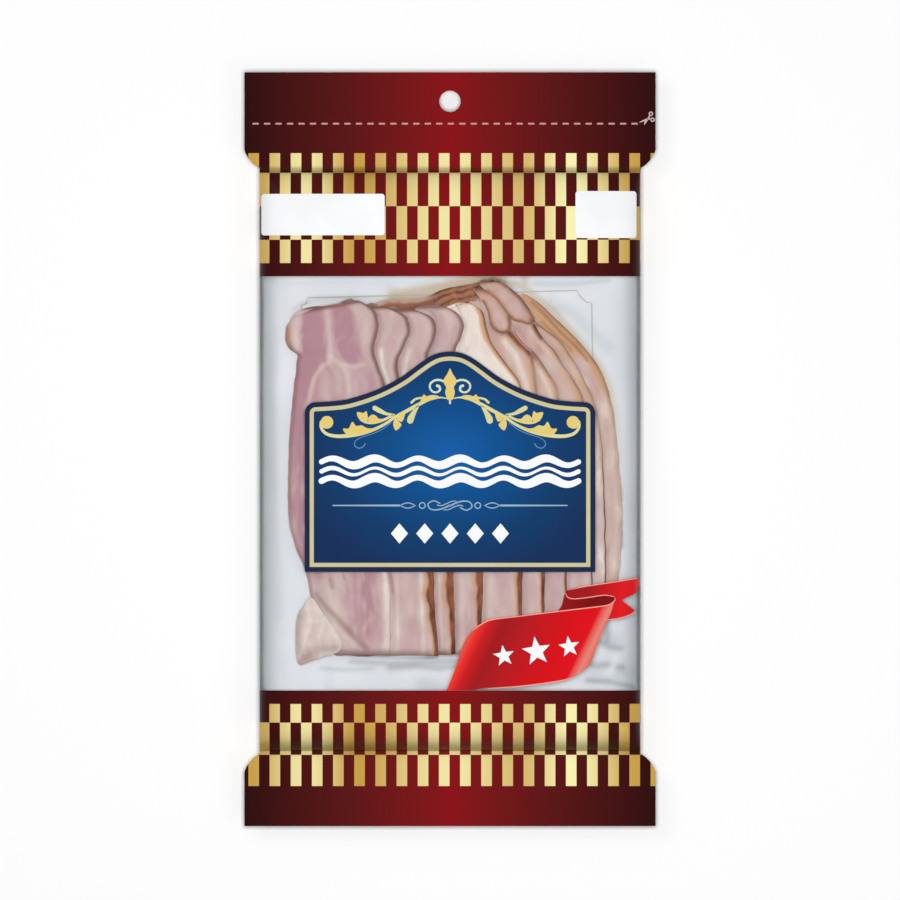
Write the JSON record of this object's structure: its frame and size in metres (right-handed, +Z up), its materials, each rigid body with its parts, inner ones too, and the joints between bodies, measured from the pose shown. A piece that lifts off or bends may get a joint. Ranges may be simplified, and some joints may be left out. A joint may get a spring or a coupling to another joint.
{
  "type": "bacon pack",
  "caption": "Flat retail pack of shingled smoked bacon slices: a printed pillow bag with a hang hole in its header seal and a clear window over an inner vacuum pouch.",
  "frame": {"origin": "on the ground under the middle of the pack, which lies on its back", "axes": "+X to the right across the printed front, +Y along the pack towards the header with the hang hole, +Z up out of the printed front"},
  "size_m": [0.15, 0.275, 0.016],
  "materials": {
    "printed_film": "smooth laminated film, printed dark maroon with a redder middle and a checked band of metallic gold",
    "gold_print": "printed metallic gold with a paler sheen that runs in vertical bands",
    "panel_print": "printed blue, lighter in the middle and navy towards the edges",
    "ribbon_print": "printed bright red with darker folds",
    "white_print": "printed white",
    "clear_film": "clear glossy film with faint wrinkles",
    "sliced_bacon": "smoked bacon seen through a tight clear vacuum film, pink lean, cream fat and brown rind"
  },
  "bodies": {
    "root": {"printed_bag": "printed_film", "bacon_pouch": "sliced_bacon"}
  },
  "joints": []
}
